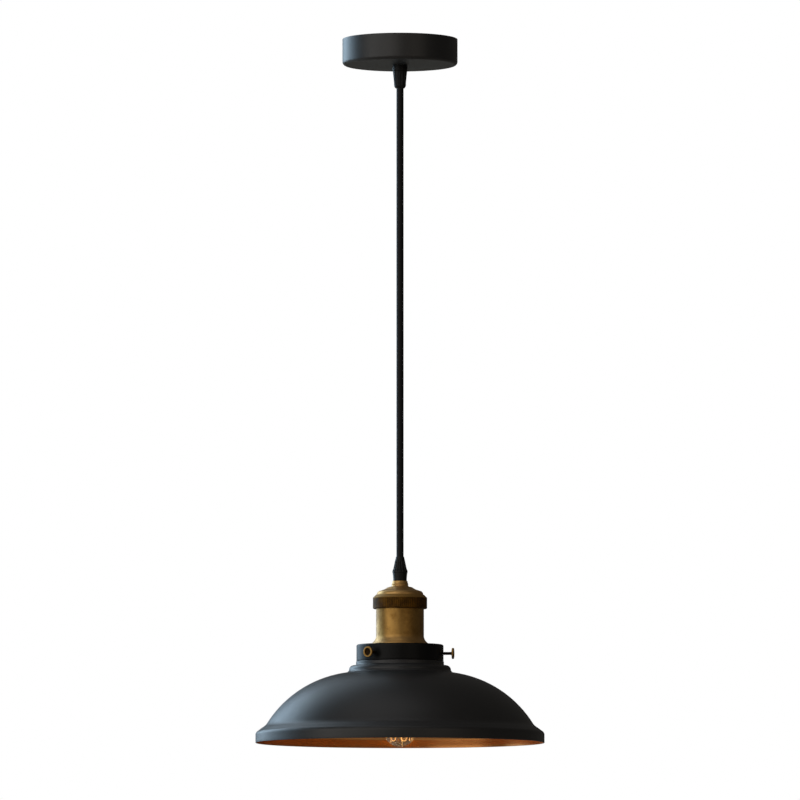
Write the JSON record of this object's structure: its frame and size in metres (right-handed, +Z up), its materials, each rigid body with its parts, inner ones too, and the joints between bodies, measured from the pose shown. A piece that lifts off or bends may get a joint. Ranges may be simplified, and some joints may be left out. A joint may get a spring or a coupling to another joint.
{
  "type": "pendant ceiling light",
  "caption": "Pendant ceiling light: round canopy, straight cable, brass lampholder and domed metal shade held by thumbscrews, with a filament bulb.",
  "frame": {"origin": "middle of the ceiling strap's fixing slots, on the ceiling plane", "axes": "+Z up to the ceiling, -Z down the cable to the shade; +X along the ceiling strap; the front is -Y"},
  "size_m": [0.28, 0.28, 0.6894],
  "materials": {
    "canopy_paint": "satin black paint on steel",
    "shade_paint": "satin black outside, copper coloured inside",
    "gallery_paint": "satin black paint",
    "aged_brass": "aged brushed brass",
    "dark_brass": "dark bronzed brass, knurled",
    "plain_brass": "plain brass",
    "grip_plastic": "black nylon",
    "cable_sheath": "black round cable sheath",
    "core_brown": "brown core insulation",
    "core_blue": "blue core insulation",
    "core_earth": "green and yellow core insulation",
    "zinc_steel": "zinc plated steel",
    "terminal_white": "white terminal plastic",
    "porcelain": "glazed porcelain",
    "lamp_glass": "clear glass",
    "lamp_black_glass": "black glass insulator",
    "lamp_wire": "fine lamp wire",
    "lamp_filament": "glowing tungsten"
  },
  "bodies": {
    "ceiling_unit": {"ceiling_bracket": "zinc_steel", "canopy": "canopy_paint", "canopy_side_screws": "zinc_steel", "terminal_block": "terminal_white", "terminal_barrels": "plain_brass", "terminal_clamp_screws": "zinc_steel", "terminal_fixing_screw": "zinc_steel", "earth_screw": "plain_brass", "earth_ring_terminal": "plain_brass", "top_grip_body": "grip_plastic", "top_grip_cap": "grip_plastic", "top_grip_washer": "zinc_steel", "top_grip_nut": "zinc_steel", "cable_top": "cable_sheath", "top_core_live": "core_brown", "top_core_neutral": "core_blue", "top_core_earth": "core_earth"},
    "cable_link": {"cable_bend": "cable_sheath"},
    "pendant": {"cable": "cable_sheath", "lower_grip_cap": "grip_plastic", "lower_grip_body": "grip_plastic", "lampholder_cap": "aged_brass", "lampholder_ring": "dark_brass", "lampholder_body": "aged_brass", "porcelain_insert": "porcelain", "screw_shell": "plain_brass", "centre_contact": "plain_brass", "insert_terminals": "plain_brass", "insert_terminal_screws": "zinc_steel", "insert_rivets": "plain_brass", "cap_earth_terminal": "plain_brass", "cap_earth_screw": "zinc_steel", "lower_core_live": "core_brown", "lower_core_neutral": "core_blue", "lower_core_earth": "core_earth", "shade_gallery": "gallery_paint", "gallery_retaining_ring": "gallery_paint"},
    "shade": {"shade": "shade_paint"},
    "bulb_tip": {"bulb_contact": "zinc_steel", "bulb_insulator": "lamp_black_glass"},
    "bulb": {"bulb_cap": "zinc_steel", "bulb_glass": "lamp_glass", "bulb_stem": "lamp_glass", "bulb_filament": "lamp_filament", "bulb_supports": "lamp_wire", "bulb_leads": "lamp_wire"},
    "thumbscrew_a_stem": {"thumbscrew_a_stem": "aged_brass"},
    "thumbscrew_a_head": {"thumbscrew_a_head": "aged_brass"},
    "thumbscrew_b_stem": {"thumbscrew_b_stem": "aged_brass"},
    "thumbscrew_b_head": {"thumbscrew_b_head": "aged_brass"},
    "thumbscrew_c_stem": {"thumbscrew_c_stem": "aged_brass"},
    "thumbscrew_c_head": {"thumbscrew_c_head": "aged_brass"}
  },
  "joints": [
    {"name": "swing_front_back", "type": "hinge", "parent": "ceiling_unit", "child": "cable_link", "pos_m": [0, 0, -0.058], "axis": [1, 0, 0], "range_deg": [-30, 30]},
    {"name": "swing_side_to_side", "type": "hinge", "parent": "cable_link", "child": "pendant", "pos_m": [0, 0, -0.082], "axis": [0, 1, 0], "range_deg": [-30, 30]},
    {"name": "shade_drop", "type": "slide", "parent": "pendant", "child": "shade", "axis": [0, 0, -1], "range_m": [0, 0.1]},
    {"name": "bulb_travel", "type": "slide", "parent": "pendant", "child": "bulb_tip", "axis": [0, 0, -1], "range_m": [0, 0.02177]},
    {"name": "bulb_turn", "type": "hinge", "parent": "bulb_tip", "child": "bulb", "pos_m": [0, 0, -0.56], "axis": [0, 0, -1], "range_deg": [0, 2160]},
    {"name": "thumbscrew_a_travel", "type": "slide", "parent": "pendant", "child": "thumbscrew_a_stem", "axis": [0.9932, -0.1167, 0], "range_m": [0, 0.003]},
    {"name": "thumbscrew_a_turn", "type": "hinge", "parent": "thumbscrew_a_stem", "child": "thumbscrew_a_head", "pos_m": [0.05035, -0.00592, -0.5992], "axis": [0.9932, -0.1167, 0], "range_deg": [0, 2160]},
    {"name": "thumbscrew_b_travel", "type": "slide", "parent": "pendant", "child": "thumbscrew_b_stem", "axis": [-0.5976, -0.8018, 0], "range_m": [0, 0.003]},
    {"name": "thumbscrew_b_turn", "type": "hinge", "parent": "thumbscrew_b_stem", "child": "thumbscrew_b_head", "pos_m": [-0.0303, -0.04065, -0.5992], "axis": [-0.5976, -0.8018, 0], "range_deg": [0, 2160]},
    {"name": "thumbscrew_c_travel", "type": "slide", "parent": "pendant", "child": "thumbscrew_c_stem", "axis": [-0.3955, 0.9184, 0], "range_m": [0, 0.003]},
    {"name": "thumbscrew_c_turn", "type": "hinge", "parent": "thumbscrew_c_stem", "child": "thumbscrew_c_head", "pos_m": [-0.02005, 0.04657, -0.5992], "axis": [-0.3955, 0.9184, 0], "range_deg": [0, 2160]}
  ],
  "couplings": [
    {"joint": "bulb_turn", "follows": "bulb_travel", "rad_per_m": 1731.4},
    {"joint": "thumbscrew_a_turn", "follows": "thumbscrew_a_travel", "rad_per_m": 12566},
    {"joint": "thumbscrew_b_turn", "follows": "thumbscrew_b_travel", "rad_per_m": 12566},
    {"joint": "thumbscrew_c_turn", "follows": "thumbscrew_c_travel", "rad_per_m": 12566}
  ]
}
